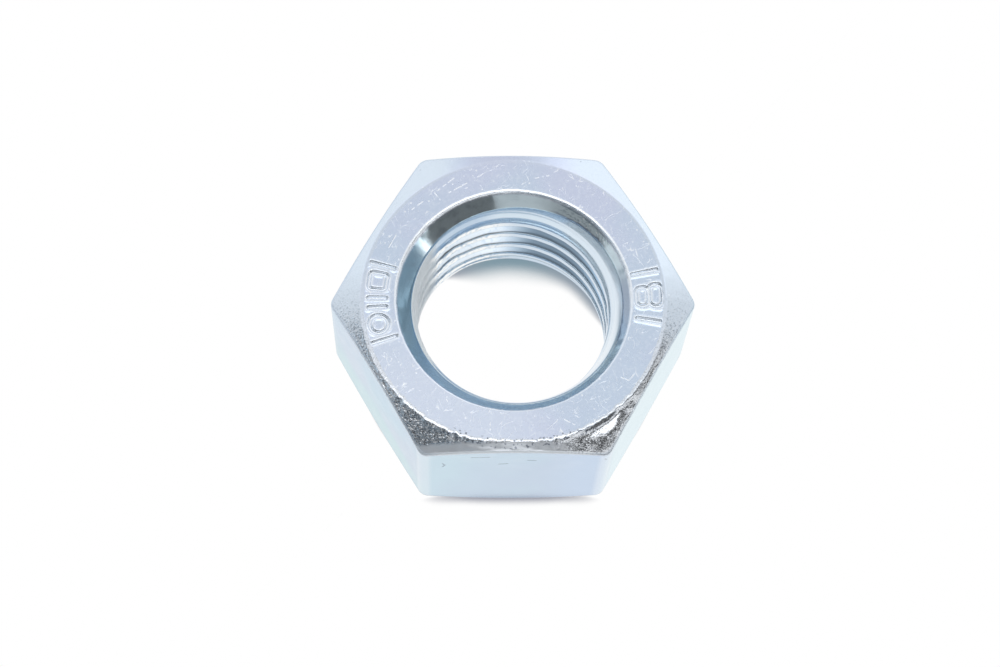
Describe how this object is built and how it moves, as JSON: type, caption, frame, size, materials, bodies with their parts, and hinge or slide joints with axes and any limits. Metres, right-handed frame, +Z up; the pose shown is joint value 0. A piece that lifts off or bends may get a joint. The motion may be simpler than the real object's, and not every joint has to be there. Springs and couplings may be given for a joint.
{
  "type": "threaded nut",
  "caption": "Plain hexagon nut with a countersunk coarse-threaded bore, chamfered on both faces, in bright zinc-plated steel.",
  "frame": {"origin": "centre of the lower bearing face, on the axis of the bore", "axes": "+Z up along the bore; two of the six flats face -Y and +Y, and two corners point to -X and +X"},
  "size_m": [0.0334, 0.0292, 0.0149],
  "materials": {
    "zinc_plated_steel": "bright blue-white zinc plating, satin, with fine scratches; darker and pitted on the chamfers"
  },
  "bodies": {
    "root": {"hex_nut": "zinc_plated_steel"}
  },
  "joints": []
}
